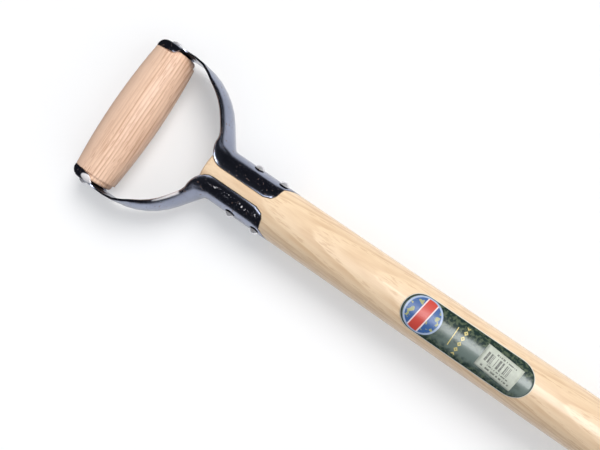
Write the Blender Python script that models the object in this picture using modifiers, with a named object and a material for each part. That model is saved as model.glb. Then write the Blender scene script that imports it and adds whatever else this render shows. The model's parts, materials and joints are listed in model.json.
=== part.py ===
"""Scoop shovel: an ash shaft with a D grip held by two pressed-steel straps, and a pressed-steel
scoop held by two sheet-steel leaves. Metres, +Z up, lying on its back with the scoop open upwards.

The tool is drawn in its own frame: the grip's centre is the origin, X runs down the shaft towards
the scoop, Y runs along the grip and Z points out of the front. Everything hangs from one empty,
which lays the drawn tool on the ground.
"""

import math

import bmesh
import bpy
from mathutils import Matrix, Vector

# Clearance between pieces that touch
GAP = 0.0003
SEAT_GAP = 0.0005

# Shaft
SHAFT_RADIUS = 0.0200
SHAFT_NECK_LENGTH = 0.6300
SHAFT_END_SETBACK = 0.0065
SHAFT_END_EASE = 0.0012
SHAFT_TIP_SETBACK = 0.0080

# Grip
GRIP_HALF_LENGTH = 0.0576
GRIP_MIDDLE_RADIUS = 0.0194
GRIP_END_RADIUS = 0.0161
GRIP_TENON_RADIUS = 0.0151
GRIP_TENON_LENGTH = 0.0045
GRIP_END_EASE = 0.0022

# Strap sheet and its plates on the shaft
STRAP_SHEET = 0.0020
PLATE_PROUD = 0.0002
PLATE_HALF_WIDTH = 0.0259
PLATE_STRAIGHT_LENGTH = 0.0550
PLATE_CORNER_RADIUS = 0.0080
PLATE_TONGUE_LENGTH = 0.0095
PLATE_TONGUE_HALF_WIDTH = 0.0125
PLATE_RIVET_FIRST = 0.0208
PLATE_RIVET_PITCH = 0.0220
PLATE_RIVET_ANGLE = math.radians(75.0)
PLATE_RIVET_SHANK = 0.0120

# Strap arms
ARM_DISH_ANGLE = math.radians(35.0)
ARM_SLOPE = math.radians(53.0)
ARM_SHOULDER_RADIUS = 0.0590
ARM_SHOULDER_START = 0.0186
ARM_CROTCH_RADIUS = 0.0080
ARM_LOW_HALF_WIDTH = 0.0175
ARM_FLARE_START = 0.0710
ARM_CURL_START = 0.0800
ARM_FLAT_LENGTH = 0.0110
ARM_DISHING_LENGTH = 0.0260
ARM_THICKENING_LENGTH = 0.0200

# Cups on the grip's ends
CUP_SHEET = 0.0013
CUP_END_ROOM = 0.0022
CUP_CORNER_RADIUS = 0.0055
CUP_RIM_DEPTH = 0.0069
CUP_MOUTH_ANGLE = math.radians(54.0)
CUP_RIM_RUN_IN = math.radians(26.0)
CUP_RIM_RISE = math.radians(65.0)

# Rod through the grip, behind its middle, and rivets
ROD_RADIUS = 0.0030
ROD_SETBACK = 0.0044
ROD_HEAD_RADIUS = 0.0053
ROD_HEAD_HEIGHT = 0.0028
RIVET_RADIUS = 0.0022
RIVET_HEAD_RADIUS = 0.0039
RIVET_HEAD_HEIGHT = 0.0024
DRILL_LENGTH_TO_GRIP = 4.0

# Label and price sticker on the shaft
LABEL_START = 0.2420
LABEL_LENGTH = 0.1000
LABEL_HALF_WIDTH = 0.0143
LABEL_TURN = math.radians(-2.5)
PAPER = 0.0003
STICKER_START = 0.0610
STICKER_LENGTH = 0.0285
STICKER_WIDTH = 0.0170
STICKER_SLANT = math.radians(5.0)

# Leaves that hold the scoop
LEAF_SHEET = 0.0020
LEAF_PROUD = 0.0002
LEAF_HALF_WIDTH = 0.0262
LEAF_START = 0.5500
LEAF_OPENING_LENGTH = 0.1100
LEAF_FLANGE_HALF_WIDTH = 0.0350
LEAF_FLANGE_LENGTH = 0.0700
LEAF_TIP_HALF_WIDTH = 0.0130
LEAF_RIVET_FIRST = 0.0330
LEAF_RIVET_PITCH = 0.0450
LEAF_TAPER_POWER = 2.6

# Bend from the shaft's line into the scoop's back wall
NECK_BEND_RADIUS = 0.1200
NECK_BEND_ANGLE = math.radians(25.0)

# Scoop
PAN_SHEET = 0.0018
PAN_LENGTH = 0.3000
PAN_EDGE_BOW = 0.0080
PAN_LIFT = math.radians(20.0)
PAN_BACK_FLAT = 0.0800
PAN_BACK_HALF_WIDTH = 0.0450
PAN_CORNER_RADIUS = 0.0750
PAN_SIDE_SPREAD = 0.0080
PAN_HEEL_RADIUS = 0.0700
PAN_SIDE_RADIUS = 0.0350
PAN_TIP_RADIUS = 0.0300
PAN_SIDE_ANGLE = math.radians(72.0)
PAN_TIP_ANGLE = math.radians(50.0)
PAN_SIDE_WALL = 0.0400
PAN_TIP_WALL = 0.0060
PAN_FAN_CENTRE = 0.1100

# Rivets through the leaves and the back wall: distance down the wall, distance from the middle
PAN_RIVET_ROWS = ((0.0140, 0.0250), (0.0370, 0.0210), (0.0580, 0.0110))

# Facets: steps round turned pieces, then columns and rows of the sheets
ROUND_STEPS = 48
SMALL_STEPS = 16
DOME_STEPS = 3
GRIP_STEPS = 12
GRIP_END_STEPS = 3
EDGE_CROWDING = 0.6
STRAP_COLUMNS = 12
STRAP_ROW_COUNTS = (2, 7, 5, 6, 6)
CUP_RIM_STEPS = 24
CUP_RUN_IN_STEPS = 4
CUP_RING_SHARES = (0.0, 0.42, 0.54, 0.65, 0.75, 0.84, 0.92, 1.0)
LEAF_COLUMNS = 12
LEAF_ROW_COUNTS = (5, 2, 11, 7)
PAN_BACK_STEPS = 3
PAN_CORNER_STEPS = 7
PAN_SIDE_STEPS = 8
PAN_FLOOR_STEPS = 3
PAN_BEND_STEPS = 5
PAN_WALL_STEPS = 3
LABEL_STEPS = 14
STICKER_STEPS = 8
CREASE_ANGLE = math.radians(35.0)

# Distances below which points are one, for welding and for reading a place on a line
WELD_DISTANCE = 0.000001
MERGE_DISTANCE = 0.00001
TINY = 1e-9

# Materials: colour, roughness, metallic
ASH_SHAFT = ((0.80, 0.62, 0.42, 1.0), 0.42, 0.0)
ASH_GRIP = ((0.79, 0.55, 0.40, 1.0), 0.55, 0.0)
DARK_STEEL = ((0.055, 0.057, 0.068, 1.0), 0.18, 0.9)
BRIGHT_STEEL = ((0.30, 0.31, 0.34, 1.0), 0.25, 1.0)
SCOOP_STEEL = ((0.075, 0.080, 0.092, 1.0), 0.30, 0.9)
LABEL_PRINT = ((0.075, 0.150, 0.130, 1.0), 0.35, 0.0)
STICKER_PAPER = ((0.40, 0.41, 0.36, 1.0), 0.70, 0.0)

# Search for the tilt at which the tool rests
REST_TILT_LIMIT = math.radians(30.0)
REST_SEARCH_STEPS = 50

# Values worked out from the sizes above
PLATE_RADIUS = SHAFT_RADIUS + PLATE_PROUD - STRAP_SHEET / 2
LEAF_RADIUS = SHAFT_RADIUS + LEAF_PROUD - LEAF_SHEET / 2
CUP_FACE = GRIP_HALF_LENGTH + CUP_END_ROOM + CUP_SHEET / 2
CUP_RADIUS = GRIP_TENON_RADIUS + GAP + CUP_SHEET / 2
CUP_EDGE_X = CUP_RADIUS * math.cos(CUP_MOUTH_ANGLE)
ARM_HALF_WIDTH = CUP_RADIUS * math.sin(CUP_MOUTH_ANGLE)
LEAF_FLANGE_HEIGHT = PAN_SHEET / 2 + GAP + LEAF_SHEET / 2
ALONG_GRIP = (0.0, 1.0, 0.0)
ROD_PLACE = (-ROD_SETBACK, 0.0, 0.0)


def clear_scene():
    """Empty the file of every object."""
    for old in list(bpy.data.objects):
        bpy.data.objects.remove(old, do_unlink=True)


def new_collection(name):
    """A collection linked to the scene."""
    made = bpy.data.collections.new(name)
    bpy.context.scene.collection.children.link(made)
    return made


def new_material(name, look):
    """A Principled material."""
    colour, roughness, metallic = look
    made = bpy.data.materials.new(name)
    made.use_nodes = True
    shader = made.node_tree.nodes["Principled BSDF"]
    shader.inputs["Base Color"].default_value = colour
    shader.inputs["Roughness"].default_value = roughness
    shader.inputs["Metallic"].default_value = metallic
    return made


def smoothstep(value):
    """0 below 0, 1 above 1, and an S between them."""
    value = min(max(value, 0.0), 1.0)
    return value * value * (3.0 - 2.0 * value)


def mix(start, end, share):
    """The value a share of the way from start to end."""
    return start + (end - start) * share


def walk(segments, distance):
    """Point and heading at a distance along lines and arcs that start at the origin, heading along X.

    A segment is (length, turn): the turn is spread evenly over the length, and the last segment
    runs on past its end.
    """
    point = Vector((0.0, 0.0))
    heading = 0.0
    for index, (length, turn) in enumerate(segments):
        last = index == len(segments) - 1
        step = distance if last else min(distance, length)
        if abs(turn) < TINY:
            point = point + Vector((math.cos(heading), math.sin(heading))) * step
        else:
            radius = length / turn
            after = heading + step / radius
            point = point + radius * Vector(
                (math.sin(after) - math.sin(heading), math.cos(heading) - math.cos(after))
            )
            heading = after
        distance -= step
        if distance <= 0.0 and not last:
            break
    return point, heading


def curled(half_width, half_angle, share):
    """Sideways place, drop below the crown and slope of a strip curled into an arc."""
    slope = half_angle * share
    if half_angle < TINY:
        return half_width * share, 0.0, slope
    radius = half_width / half_angle
    return radius * math.sin(slope), radius * (1.0 - math.cos(slope)), slope


def crowded_shares(columns):
    """Shares from -1 to 1 across a strip, closer together near its edges."""
    shares = []
    for index in range(columns + 1):
        even = 2.0 * index / columns - 1.0
        shares.append(mix(even, math.sin(even * math.pi / 2), EDGE_CROWDING))
    return shares


def add_grid(mesh, rows, wrap=False):
    """Faces between rows of vertices, closed into a ring with wrap."""
    for first, second in zip(rows, rows[1:]):
        count = len(first)
        for index in range(count if wrap else count - 1):
            after = (index + 1) % count
            corners = (first[index], first[after], second[after], second[index])
            mesh.faces.new(corners)


def new_object(name, data, group, material, frame):
    """An object in a collection, hung from the tool's frame."""
    made = bpy.data.objects.new(name, data)
    group.objects.link(made)
    made.parent = frame
    if material is not None:
        data.materials.append(material)
    return made


def surface_mesh(name, points):
    """An open sheet through rows of points; points that coincide are joined."""
    mesh = bmesh.new()
    add_grid(mesh, [[mesh.verts.new(point) for point in row] for row in points])
    return finish_mesh(name, mesh)


def solid_mesh(name, lower, upper):
    """A closed slab between two matching grids of points."""
    mesh = bmesh.new()
    bottom = [[mesh.verts.new(point) for point in row] for row in lower]
    top = [[mesh.verts.new(point) for point in row] for row in upper]
    add_grid(mesh, bottom)
    add_grid(mesh, top)
    for first, second in ((bottom[0], top[0]), (bottom[-1], top[-1])):
        add_grid(mesh, [first, second])
    for side in (0, -1):
        add_grid(mesh, [[row[side] for row in bottom], [row[side] for row in top]])
    bmesh.ops.recalc_face_normals(mesh, faces=mesh.faces)
    return finish_mesh(name, mesh)


def finish_mesh(name, mesh):
    """Weld, shade smooth with sharp creases, and hand over as mesh data."""
    bmesh.ops.remove_doubles(mesh, verts=mesh.verts, dist=WELD_DISTANCE)
    data = bpy.data.meshes.new(name)
    mesh.to_mesh(data)
    mesh.free()
    data.shade_smooth()
    data.set_sharp_from_angle(angle=CREASE_ANGLE)
    return data


def thicken(sheet, thickness):
    """Give an open sheet its thickness, half to each side."""
    shell = sheet.modifiers.new("thickness", "SOLIDIFY")
    shell.thickness = thickness
    shell.offset = 0.0
    shell.use_even_offset = True


def point_along(target, place, direction):
    """Put an object at a place with its Z axis along a direction."""
    target.location = place
    target.rotation_mode = "QUATERNION"
    target.rotation_quaternion = Vector(direction).to_track_quat("Z", "Y")


def turned_mesh(name, profile):
    """A profile of (radius, height) points, to be spun by a Screw modifier."""
    edges = [(index, index + 1) for index in range(len(profile) - 1)]
    data = bpy.data.meshes.new(name)
    data.from_pydata([(radius, 0.0, height) for radius, height in profile], edges, [])
    return data


def spin(target, steps):
    """Spin a profile round its Z axis."""
    screw = target.modifiers.new("turn", "SCREW")
    screw.steps = steps
    screw.render_steps = steps
    screw.use_merge_vertices = True
    screw.merge_threshold = MERGE_DISTANCE
    screw.use_smooth_shade = True


def cut(target, cutter):
    """Take a cutter's shape out of an object."""
    hole = target.modifiers.new("cut_" + cutter.name, "BOOLEAN")
    hole.operation = "DIFFERENCE"
    hole.solver = "EXACT"
    hole.object = cutter


def new_cutter(name, data, cutters, frame):
    """A hidden object that other objects are cut with."""
    made = new_object(name, data, cutters, None, frame)
    made.hide_render = True
    made.display_type = "WIRE"
    return made


def drill(name, place, direction, radius, length, cutters, frame):
    """A round cutter centred on a place."""
    mesh = bmesh.new()
    bmesh.ops.create_cone(
        mesh,
        cap_ends=True,
        segments=SMALL_STEPS,
        radius1=radius,
        radius2=radius,
        depth=length,
    )
    data = bpy.data.meshes.new(name)
    mesh.to_mesh(data)
    mesh.free()
    cutter = new_cutter(name, data, cutters, frame)
    point_along(cutter, place, direction)
    return cutter


def dome_profile(radius, height):
    """Profile of a domed head, from its top down to its rim."""
    dome = []
    sphere = (radius**2 + height**2) / (2 * height)
    full = math.asin(radius / sphere)
    for index in range(DOME_STEPS + 1):
        slope = full * index / DOME_STEPS
        dome.append((sphere * math.sin(slope), height - sphere * (1.0 - math.cos(slope))))
    return dome


def headed_pin(radius, half_grip, head_radius, head_height):
    """Profile of a pin with a domed head at each end, from its top down."""
    dome = dome_profile(head_radius, head_height)
    top = [(across, half_grip + height) for across, height in dome]
    bottom = [(across, -half_grip - height) for across, height in reversed(dome)]
    return top + [(radius, half_grip), (radius, -half_grip)] + bottom


def add_pin(name, place, direction, profile, group, material, frame):
    """A turned pin centred on a place."""
    pin = new_object(name, turned_mesh(name, profile), group, material, frame)
    point_along(pin, place, direction)
    spin(pin, SMALL_STEPS)
    return pin


def strap_segments():
    """Lines and arcs of the strap's crown, from the cup's mouth to the shaft, in the XY plane."""
    shoulder_drop = ARM_SHOULDER_RADIUS * (1.0 - math.cos(ARM_SLOPE))
    crotch_drop = ARM_CROTCH_RADIUS * (1.0 - math.cos(ARM_SLOPE))
    slant = (CUP_FACE - PLATE_RADIUS - shoulder_drop - crotch_drop) / math.sin(ARM_SLOPE)
    return (
        (ARM_SHOULDER_START - CUP_EDGE_X, 0.0),
        (ARM_SHOULDER_RADIUS * ARM_SLOPE, -ARM_SLOPE),
        (slant, 0.0),
        (ARM_CROTCH_RADIUS * ARM_SLOPE, ARM_SLOPE),
        (PLATE_STRAIGHT_LENGTH, 0.0),
    )


def strap_point(distance):
    """Place and heading of the strap's crown."""
    point, heading = walk(strap_segments(), distance)
    return point + Vector((CUP_EDGE_X, CUP_FACE)), heading


def plate_start_distance():
    """Length of the strap's crown before its plate runs straight along the shaft."""
    return sum(length for length, turn in strap_segments()[:-1])


def plate_start_x():
    """Where the straight plates begin."""
    return strap_point(plate_start_distance())[0].x


def plate_cutback(across):
    """How far a plate's end is cut back from its tongue's tip, at a distance from its middle."""
    across = abs(across)
    cutback = PLATE_TONGUE_LENGTH * smoothstep(across / PLATE_TONGUE_HALF_WIDTH)
    past = across - (PLATE_HALF_WIDTH - PLATE_CORNER_RADIUS)
    if past > 0.0:
        reach = math.sqrt(max(PLATE_CORNER_RADIUS**2 - past**2, 0.0))
        cutback += PLATE_CORNER_RADIUS - reach
    return cutback


def strap_row(distance, full, shares, shift=0.0, margin=0.0, side=1.0):
    """Points across the strap; full is the crown's length, shift moves them off the sheet's middle."""
    start = plate_start_distance()
    flare = smoothstep((distance - ARM_FLARE_START) / (start - ARM_FLARE_START))
    curl = smoothstep((distance - ARM_CURL_START) / (start - ARM_CURL_START))
    dish = ARM_DISH_ANGLE * smoothstep((distance - ARM_FLAT_LENGTH) / ARM_DISHING_LENGTH)
    arm = mix(ARM_HALF_WIDTH, ARM_LOW_HALF_WIDTH, smoothstep(distance / ARM_FLARE_START))
    half_width = mix(arm, PLATE_HALF_WIDTH, flare)
    half_angle = mix(dish, PLATE_HALF_WIDTH / PLATE_RADIUS, curl)
    grown = (half_width + margin) / half_width
    row = []
    for place in shares:
        sideways, drop, slope = curled(half_width, half_angle, place * grown)
        along = distance
        if distance > start:
            cutback = plate_cutback(place * half_width)
            along = mix(start, full - cutback, (distance - start) / (full - start))
        point, heading = strap_point(along)
        drop -= shift * math.cos(slope)
        sideways += shift * math.sin(slope)
        x = point.x + drop * math.sin(heading)
        y = point.y - drop * math.cos(heading)
        row.append(Vector((x, y * side, sideways)))
    return row


def strap_distances(first):
    """Distances of the strap's rows, closer where it bends sharply."""
    distances = []
    begin = 0.0
    for (length, turn), count in zip(strap_segments(), STRAP_ROW_COUNTS):
        for index in range(count):
            distances.append(begin + length * index / count)
        begin += length
    distances.append(begin)
    return [distance for distance in distances if distance >= first - TINY]


def cup_point(angle, share, side):
    """A point of the cup at an angle round the grip's axis, a share of the way from hole to rim."""
    if angle > math.pi:
        angle -= 2 * math.pi
    hole = ROD_RADIUS + GAP
    flat = CUP_RADIUS - CUP_CORNER_RADIUS
    setback = ROD_SETBACK * max(1.0 - share / CUP_RING_SHARES[1], 0.0)
    off_mouth = abs(angle) - CUP_MOUTH_ANGLE
    if off_mouth <= TINY:
        outer = Vector((CUP_EDGE_X, CUP_EDGE_X * math.tan(angle)))
        inner = Vector((math.cos(angle), math.sin(angle))) * hole
        place = inner.lerp(outer, share)
        return Vector((place.x - setback, CUP_FACE * side, place.y))
    lip = smoothstep(off_mouth / CUP_RIM_RUN_IN)
    corner_length = CUP_CORNER_RADIUS * math.pi / 2
    mouth_reach = CUP_EDGE_X / math.cos(CUP_MOUTH_ANGLE)
    skirt = (CUP_RIM_DEPTH - CUP_CORNER_RADIUS) * smoothstep(off_mouth / CUP_RIM_RISE)
    rim_reach = flat + corner_length + skirt
    reach = mix(mouth_reach, rim_reach, lip)
    travel = mix(hole, reach, share)
    if travel <= flat:
        radius, drop = travel, 0.0
    elif travel <= flat + corner_length:
        turn = (travel - flat) / CUP_CORNER_RADIUS
        radius = flat + CUP_CORNER_RADIUS * math.sin(turn)
        drop = CUP_CORNER_RADIUS * (1.0 - math.cos(turn))
    else:
        radius = CUP_RADIUS
        drop = CUP_CORNER_RADIUS + travel - flat - corner_length
    radius = mix(mix(hole, mouth_reach, share), radius, lip)
    drop = mix(0.0, drop, lip)
    level = (CUP_FACE - drop) * side
    return Vector((radius * math.cos(angle) - setback, level, radius * math.sin(angle)))


def cup_rim_angles():
    """Angles round the cup's closed part, from one side of its mouth to the other."""
    first = CUP_MOUTH_ANGLE + CUP_RIM_RUN_IN
    last = 2 * math.pi - first
    run_in = []
    for index in range(1, CUP_RUN_IN_STEPS):
        run_in.append(mix(CUP_MOUTH_ANGLE, first, index / CUP_RUN_IN_STEPS))
    angles = [mix(first, last, index / CUP_RIM_STEPS) for index in range(CUP_RIM_STEPS + 1)]
    return run_in + angles + [2 * math.pi - angle for angle in reversed(run_in)]


def strap_mesh(name, side):
    """One strap as an open sheet: its cup's fan, its arm and its plate."""
    mesh = bmesh.new()
    shares = crowded_shares(STRAP_COLUMNS)
    full = sum(length for length, turn in strap_segments())
    arm_rows = [strap_row(distance, full, shares, side=side) for distance in strap_distances(0.0)]
    ribbon = [[mesh.verts.new(point) for point in row] for row in arm_rows]
    mouth = [math.atan2(ARM_HALF_WIDTH * share, CUP_EDGE_X) for share in shares]
    rim = cup_rim_angles()
    rings = []
    for share in CUP_RING_SHARES[:-1]:
        rings.append([mesh.verts.new(cup_point(angle, share, side)) for angle in mouth + rim])
    edge = [mesh.verts.new(cup_point(angle, CUP_RING_SHARES[-1], side)) for angle in rim]
    rings.append(ribbon[0] + edge)
    add_grid(mesh, rings, wrap=True)
    add_grid(mesh, ribbon)
    bmesh.ops.recalc_face_normals(mesh, faces=mesh.faces)
    return finish_mesh(name, mesh)


def add_strap(name, side, group, cutters, material, frame):
    """A strap and the seat that it needs in the shaft."""
    strap = new_object(name, strap_mesh(name, side), group, material, frame)
    stout = strap.vertex_groups.new(name="stout")
    for vertex in strap.data.vertices:
        past_grip = (vertex.co.x - GRIP_TENON_RADIUS) / ARM_THICKENING_LENGTH
        stout.add([vertex.index], smoothstep(past_grip), "REPLACE")
    thicken(strap, STRAP_SHEET)
    strap.modifiers["thickness"].vertex_group = stout.name
    strap.modifiers["thickness"].thickness_vertex_group = CUP_SHEET / STRAP_SHEET
    shares = crowded_shares(STRAP_COLUMNS)
    full = sum(length for length, turn in strap_segments())
    seat_start = plate_start_distance() - ARM_CROTCH_RADIUS * ARM_SLOPE - ARM_CROTCH_RADIUS
    inner = -(STRAP_SHEET / 2 + SEAT_GAP)
    outer = 2 * STRAP_SHEET
    grids = []
    for shift in (inner, outer):
        rows = []
        for distance in strap_distances(seat_start):
            rows.append(strap_row(distance, full, shares, shift, SEAT_GAP, side))
        rows.append([point + Vector((SEAT_GAP, 0.0, 0.0)) for point in rows[-1]])
        grids.append(rows)
    seat = new_cutter(name + "_seat", solid_mesh(name + "_seat", *grids), cutters, frame)
    return strap, seat


def plate_rivet_places():
    """Distances along the shaft of the rivets through the two plates."""
    first = plate_start_x() + PLATE_RIVET_FIRST
    return (first, first + PLATE_RIVET_PITCH)


def leaf_rivet_places():
    """Distances along the shaft of the rivets through the two leaves."""
    first = LEAF_START + LEAF_RIVET_FIRST
    return (first, first + LEAF_RIVET_PITCH)


def neck_segments():
    """The tool's middle line in the XZ plane: along the shaft, round the bend, down the back wall."""
    return (
        (SHAFT_NECK_LENGTH + plate_start_x(), 0.0),
        (NECK_BEND_RADIUS * NECK_BEND_ANGLE, -NECK_BEND_ANGLE),
        (PAN_BACK_FLAT, 0.0),
    )


def neck_point(distance):
    """Place and upward normal of the middle line, in 3-D."""
    point, heading = walk(neck_segments(), distance)
    return Vector((point.x, 0.0, point.y)), Vector((-math.sin(heading), 0.0, math.cos(heading)))


def wall_start_distance():
    """Distance along the middle line of the back wall's top edge."""
    return sum(length for length, turn in neck_segments()[:2])


def leaf_row(distance, shares, front, shift=0.0, margin=0.0):
    """Points across a leaf, which opens from a half tube into a flat flange."""
    wall = wall_start_distance()
    end = wall + LEAF_FLANGE_LENGTH
    opening = smoothstep((wall - distance) / LEAF_OPENING_LENGTH)
    half_width = mix(LEAF_FLANGE_HALF_WIDTH, LEAF_HALF_WIDTH, opening)
    if distance > wall:
        past = (distance - wall) / LEAF_FLANGE_LENGTH
        half_width = mix(LEAF_FLANGE_HALF_WIDTH, LEAF_TIP_HALF_WIDTH, past**LEAF_TAPER_POWER)
    tube_angle = LEAF_HALF_WIDTH / LEAF_RADIUS
    half_angle = tube_angle * opening
    tube_drop = curled(LEAF_HALF_WIDTH, tube_angle, 1.0)[1]
    rise = (LEAF_RADIUS - LEAF_FLANGE_HEIGHT) / tube_drop
    height = LEAF_FLANGE_HEIGHT + curled(half_width, half_angle, 1.0)[1] * rise
    grown = (half_width + margin) / half_width
    row = []
    for place in shares:
        along = distance
        if distance < LEAF_START + LEAF_RIVET_FIRST:
            cutback = plate_cutback(place * PLATE_HALF_WIDTH)
            left = (LEAF_START + LEAF_RIVET_FIRST - distance) / LEAF_RIVET_FIRST
            along = distance + cutback * left
        middle, up = neck_point(min(along, end))
        sideways, drop, slope = curled(half_width, half_angle, place * grown)
        drop -= shift * math.cos(slope)
        sideways += shift * math.sin(slope)
        row.append(middle + up * (height - drop) * front + Vector((0.0, sideways * front, 0.0)))
    return row


def leaf_distances():
    """Distances of the leaf's rows."""
    wall = wall_start_distance()
    tongue_end = LEAF_START + LEAF_RIVET_FIRST
    ends = (tongue_end, wall - LEAF_OPENING_LENGTH, wall, wall + LEAF_FLANGE_LENGTH)
    distances = [LEAF_START]
    for end, count in zip(ends, LEAF_ROW_COUNTS):
        begin = distances[-1]
        distances += [mix(begin, end, (index + 1) / count) for index in range(count)]
    return distances


def add_leaf(name, front, group, cutters, material, frame):
    """A leaf on the front or back of the shaft, and the seat that it needs in the wood."""
    shares = crowded_shares(LEAF_COLUMNS)
    rows = [leaf_row(distance, shares, front) for distance in leaf_distances()]
    leaf = new_object(name, surface_mesh(name, rows), group, material, frame)
    thicken(leaf, LEAF_SHEET)
    grids = []
    for shift in (-(LEAF_SHEET / 2 + SEAT_GAP), 2 * SHAFT_RADIUS):
        cut_rows = [
            leaf_row(distance, shares, front, shift, SEAT_GAP) for distance in leaf_distances()
        ]
        cut_rows.insert(0, [point - Vector((2 * SEAT_GAP, 0.0, 0.0)) for point in cut_rows[0]])
        grids.append(cut_rows)
    seat = new_cutter(name + "_seat", solid_mesh(name + "_seat", *grids), cutters, frame)
    return leaf, seat


def add_shaft(group, material, frame):
    """The shaft: a straight round stick between the D grip and the scoop's back wall."""
    start = plate_start_x() - ARM_CROTCH_RADIUS / 2 - SHAFT_END_SETBACK
    wall_top = neck_point(wall_start_distance())[0].x
    end = wall_top - SHAFT_TIP_SETBACK
    eased = SHAFT_RADIUS - SHAFT_END_EASE
    profile = (
        (0.0, end),
        (eased, end),
        (SHAFT_RADIUS, end - SHAFT_END_EASE),
        (SHAFT_RADIUS, start + SHAFT_END_EASE),
        (eased, start),
        (0.0, start),
    )
    shaft = new_object("shaft", turned_mesh("shaft", profile), group, material, frame)
    point_along(shaft, (0.0, 0.0, 0.0), (1.0, 0.0, 0.0))
    spin(shaft, ROUND_STEPS)
    return shaft


def add_grip(group, cutters, material, frame):
    """The barrel-shaped crosspiece, bored for its rod."""
    crown = GRIP_MIDDLE_RADIUS - GRIP_END_RADIUS
    barrel = (GRIP_HALF_LENGTH**2 + crown**2) / (2 * crown)
    shoulder = GRIP_HALF_LENGTH - GRIP_TENON_LENGTH
    end = [(0.0, GRIP_HALF_LENGTH)]
    for index in range(GRIP_END_STEPS + 1):
        turn = math.pi / 2 * index / GRIP_END_STEPS
        radius = GRIP_TENON_RADIUS - GRIP_END_EASE * (1.0 - math.sin(turn))
        end.append((radius, GRIP_HALF_LENGTH - GRIP_END_EASE * (1.0 - math.cos(turn))))
    end.append((GRIP_TENON_RADIUS, shoulder))
    profile = list(end)
    for index in range(GRIP_STEPS + 1):
        height = mix(shoulder, -shoulder, index / GRIP_STEPS)
        radius = GRIP_MIDDLE_RADIUS - barrel + math.sqrt(barrel**2 - height**2)
        profile.append((radius, height))
    profile += [(radius, -height) for radius, height in reversed(end)]
    grip = new_object("grip", turned_mesh("grip", profile), group, material, frame)
    point_along(grip, (0.0, 0.0, 0.0), ALONG_GRIP)
    spin(grip, ROUND_STEPS)
    length = GRIP_HALF_LENGTH * DRILL_LENGTH_TO_GRIP
    bore = ROD_RADIUS + GAP
    cut(grip, drill("grip_bore", ROD_PLACE, ALONG_GRIP, bore, length, cutters, frame))
    return grip


def pan_outline():
    """Half of the line where the scoop's floor and walls would meet without a bend.

    Each entry is the point, its outward direction, the share of the way round the corner and the
    share of the way along the side.
    """
    entries = []
    for index in range(PAN_BACK_STEPS):
        across = PAN_BACK_HALF_WIDTH * index / PAN_BACK_STEPS
        entries.append((Vector((0.0, across)), Vector((-1.0, 0.0)), 0.0, 0.0))
    centre = Vector((PAN_CORNER_RADIUS, PAN_BACK_HALF_WIDTH))
    for index in range(PAN_CORNER_STEPS + 1):
        share = index / PAN_CORNER_STEPS
        turn = share * math.pi / 2
        outward = Vector((-math.cos(turn), math.sin(turn)))
        entries.append((centre + outward * PAN_CORNER_RADIUS, outward, share, 0.0))
    corner = entries[-1][0]
    for index in range(1, PAN_SIDE_STEPS + 1):
        share = index / PAN_SIDE_STEPS
        point = Vector((mix(corner.x, PAN_LENGTH, share), corner.y + PAN_SIDE_SPREAD * share))
        entries.append((point, Vector((0.0, 1.0)), 1.0, share))
    return entries


def pan_section(entry, place_in_tool):
    """A row of points from the floor's middle to the wall's top edge."""
    knee, outward, corner, side = entry
    eased = smoothstep(corner)
    forward = smoothstep(side)
    back_angle = NECK_BEND_ANGLE + PAN_LIFT
    angle = mix(mix(back_angle, PAN_SIDE_ANGLE, eased), PAN_TIP_ANGLE, forward)
    radius = mix(mix(PAN_HEEL_RADIUS, PAN_SIDE_RADIUS, eased), PAN_TIP_RADIUS, forward)
    wall = mix(mix(PAN_BACK_FLAT, PAN_SIDE_WALL, eased), PAN_TIP_WALL, side)
    tangent = radius * math.tan(angle / 2)
    inner = Vector((mix(PAN_FAN_CENTRE, PAN_LENGTH + PAN_EDGE_BOW, side), 0.0))
    foot = knee - outward * tangent
    points = []
    for index in range(PAN_FLOOR_STEPS):
        share = index / PAN_FLOOR_STEPS
        flat = inner.lerp(foot, share)
        flat.x += PAN_EDGE_BOW * side * share * (1.0 - share)
        points.append((flat, 0.0))
    for index in range(PAN_BEND_STEPS + 1):
        slope = angle * index / PAN_BEND_STEPS
        points.append((foot + outward * radius * math.sin(slope), radius * (1.0 - math.cos(slope))))
    bend_end, bend_height = points[-1]
    for index in range(1, PAN_WALL_STEPS + 1):
        run = wall * index / PAN_WALL_STEPS
        level = bend_height + run * math.sin(angle)
        points.append((bend_end + outward * run * math.cos(angle), level))
    return [place_in_tool @ Vector((flat.x, flat.y, level)) for flat, level in points]


def pan_frame():
    """Matrix from the scoop's own frame, its floor in XY and its heel at the origin, to the tool's."""
    wall_bottom, up = neck_point(wall_start_distance() + PAN_BACK_FLAT)
    down = Vector((up.z, 0.0, -up.x))
    back_angle = NECK_BEND_ANGLE + PAN_LIFT
    knee = wall_bottom + down * PAN_HEEL_RADIUS * math.tan(back_angle / 2)
    return Matrix.Translation(knee) @ Matrix.Rotation(-PAN_LIFT, 4, "Y")


def add_pan(group, material, frame):
    """The scoop, pressed from one sheet."""
    place_in_tool = pan_frame()
    rows = [pan_section(entry, place_in_tool) for entry in pan_outline()]
    pan = new_object("scoop_pan", surface_mesh("scoop_pan", rows), group, material, frame)
    halves = pan.modifiers.new("halves", "MIRROR")
    halves.use_axis = (False, True, False)
    halves.merge_threshold = MERGE_DISTANCE
    thicken(pan, PAN_SHEET)
    return pan


def wrapped_slab(name, outline, radius, group, material, frame):
    """A thin piece wrapped on the shaft: outline holds rows of (distance along, distance across)."""
    grids = []
    for level in (radius, radius + PAPER):
        rows = []
        for row in outline:
            points = []
            for along, across in row:
                turn = LABEL_TURN + across / radius
                points.append(Vector((along, level * math.sin(turn), level * math.cos(turn))))
            rows.append(points)
        grids.append(rows)
    return new_object(name, solid_mesh(name, *grids), group, material, frame)


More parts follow.
